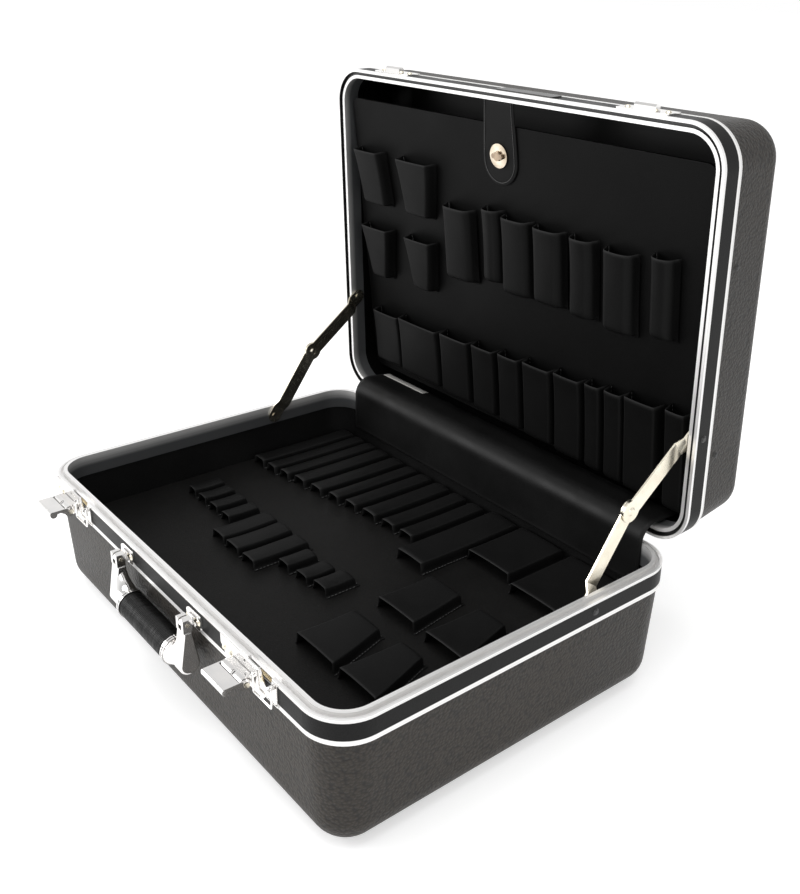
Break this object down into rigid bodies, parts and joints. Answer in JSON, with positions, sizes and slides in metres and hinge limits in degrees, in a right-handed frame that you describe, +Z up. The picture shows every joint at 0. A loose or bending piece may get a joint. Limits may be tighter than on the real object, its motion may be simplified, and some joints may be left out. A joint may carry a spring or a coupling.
{
  "type": "hard tool case",
  "caption": "Black moulded tool case with aluminium rims, hinged lid on folding stays, key latches, carrying handle and boards of stitched tool pockets.",
  "frame": {"origin": "centre of the base's flat underside", "axes": "+Z up, -Y towards the handle and latches, +Y towards the hinges, +X to the right seen from the front"},
  "size_m": [0.4622, 0.4402, 0.4567],
  "materials": {
    "case_plastic": "textured black moulded plastic",
    "rim_aluminium": "bright anodised",
    "band_plastic": "satin black strip",
    "lining_fabric": "black lining",
    "board_panel": "covered board",
    "pocket_vinyl": "grained black vinyl",
    "chrome_steel": "polished chrome plate",
    "bright_steel": "bright steel strip",
    "grip_plastic": "ribbed black grip",
    "foot_rubber": "black rubber"
  },
  "bodies": {
    "base": {"base_shell": "case_plastic", "base_rim": "rim_aluminium", "base_band": "band_plastic", "base_lining": "lining_fabric", "base_board_rests": "board_panel", "base_board": "board_panel", "hinge_base_leaves": "bright_steel", "hinge_pins": "bright_steel", "base_rivets": "bright_steel", "handle_posts": "chrome_steel", "latch_plate_left": "chrome_steel", "latch_plate_right": "chrome_steel", "lever_pins": "bright_steel", "latch_springs": "bright_steel", "base_feet": "foot_rubber", "hinge_cover": "lining_fabric", "driver_loops_left": "pocket_vinyl", "driver_loops_middle": "pocket_vinyl", "driver_loops_right": "pocket_vinyl", "wide_pockets_rear": "pocket_vinyl", "wide_pockets_front": "pocket_vinyl", "small_loops_left": "pocket_vinyl", "small_loops_middle": "pocket_vinyl", "small_loops_right": "pocket_vinyl"},
    "lid": {"lid_shell": "case_plastic", "lid_rim": "rim_aluminium", "lid_band": "band_plastic", "lid_lining": "lining_fabric", "lid_board_rests": "board_panel", "lid_board": "board_panel", "hinge_lid_leaves": "bright_steel", "lid_rivets": "bright_steel", "lid_side_rivets": "bright_steel", "lid_strikes": "chrome_steel", "name_plate": "rim_aluminium", "lid_tongue": "lining_fabric", "turn_lock_plate": "chrome_steel", "lid_feet": "foot_rubber", "lid_wedge_pockets": "pocket_vinyl", "lid_tubes_left": "pocket_vinyl", "lid_tubes_right": "pocket_vinyl", "lid_low_pockets_left": "pocket_vinyl", "lid_low_pockets_middle": "pocket_vinyl", "lid_low_pockets_right": "pocket_vinyl"},
    "stay_right_lower": {"stay_right_lower": "bright_steel"},
    "stay_right_upper": {"stay_right_upper": "bright_steel"},
    "stay_left_lower": {"stay_left_lower": "bright_steel"},
    "stay_left_upper": {"stay_left_upper": "bright_steel"},
    "handle": {"handle_arms": "chrome_steel", "handle_grip": "grip_plastic", "handle_rod": "bright_steel", "handle_pins": "bright_steel"},
    "lever_left": {"latch_lever_left": "chrome_steel"},
    "lever_right": {"latch_lever_right": "chrome_steel"},
    "bail_left": {"latch_bail_left": "chrome_steel"},
    "bail_right": {"latch_bail_right": "chrome_steel"},
    "plug_left": {"lock_plug_left": "chrome_steel"},
    "plug_right": {"lock_plug_right": "chrome_steel"},
    "turn_lock": {"turn_lock_knob": "chrome_steel"}
  },
  "joints": [
    {"name": "lid_hinge", "type": "hinge", "parent": "base", "child": "lid", "pos_m": [0, 0.1702, 0.114], "axis": [1, 0, 0], "range_deg": [0, 88], "deforming": ["hinge_cover"]},
    {"name": "stay_right_lower_turn", "type": "hinge", "parent": "base", "child": "stay_right_lower", "pos_m": [0.22045, 0.069, 0.1045], "axis": [1, 0, 0], "range_deg": [0, 118.46]},
    {"name": "stay_right_upper_turn", "type": "hinge", "parent": "lid", "child": "stay_right_upper", "pos_m": [0.22045, 0.17616, 0.21547], "axis": [1, 0, 0], "range_deg": [-118.46, 0]},
    {"name": "stay_left_lower_turn", "type": "hinge", "parent": "base", "child": "stay_left_lower", "pos_m": [-0.22045, 0.069, 0.1045], "axis": [1, 0, 0], "range_deg": [0, 118.46]},
    {"name": "stay_left_upper_turn", "type": "hinge", "parent": "lid", "child": "stay_left_upper", "pos_m": [-0.22045, 0.17616, 0.21547], "axis": [1, 0, 0], "range_deg": [-118.46, 0]},
    {"name": "handle_swing", "type": "hinge", "parent": "base", "child": "handle", "pos_m": [0, -0.1754, 0.1035], "axis": [-1, 0, 0], "range_deg": [0, 95]},
    {"name": "lever_left_lift", "type": "hinge", "parent": "base", "child": "lever_left", "pos_m": [-0.173, -0.1728, 0.0985], "axis": [-1, 0, 0], "range_deg": [0, 88]},
    {"name": "bail_left_swing", "type": "hinge", "parent": "base", "child": "bail_left", "pos_m": [-0.144, -0.1695, 0.109], "axis": [-1, 0, 0], "range_deg": [0, 182]},
    {"name": "plug_left_turn", "type": "hinge", "parent": "base", "child": "plug_left", "pos_m": [-0.171, -0.17375, 0.10014], "axis": [0, -0.5, 0.866], "range_deg": [0, 90]},
    {"name": "lever_right_lift", "type": "hinge", "parent": "base", "child": "lever_right", "pos_m": [0.125, -0.1728, 0.0985], "axis": [-1, 0, 0], "range_deg": [0, 88]},
    {"name": "bail_right_swing", "type": "hinge", "parent": "base", "child": "bail_right", "pos_m": [0.154, -0.1695, 0.109], "axis": [-1, 0, 0], "range_deg": [0, 182]},
    {"name": "plug_right_turn", "type": "hinge", "parent": "base", "child": "plug_right", "pos_m": [0.127, -0.17375, 0.10014], "axis": [0, -0.5, 0.866], "range_deg": [0, 90]},
    {"name": "turn_lock_turn", "type": "hinge", "parent": "lid", "child": "turn_lock", "pos_m": [-0.004, 0.17134, 0.39575], "axis": [0, -0.9938, -0.1115], "range_deg": [0, 90]}
  ],
  "couplings": [
    {"joint": "stay_right_lower_turn", "follows": "lid_hinge", "ratio": 1.3461},
    {"joint": "stay_right_upper_turn", "follows": "lid_hinge", "ratio": -1.3461},
    {"joint": "stay_left_lower_turn", "follows": "lid_hinge", "ratio": 1.3461},
    {"joint": "stay_left_upper_turn", "follows": "lid_hinge", "ratio": -1.3461}
  ]
}
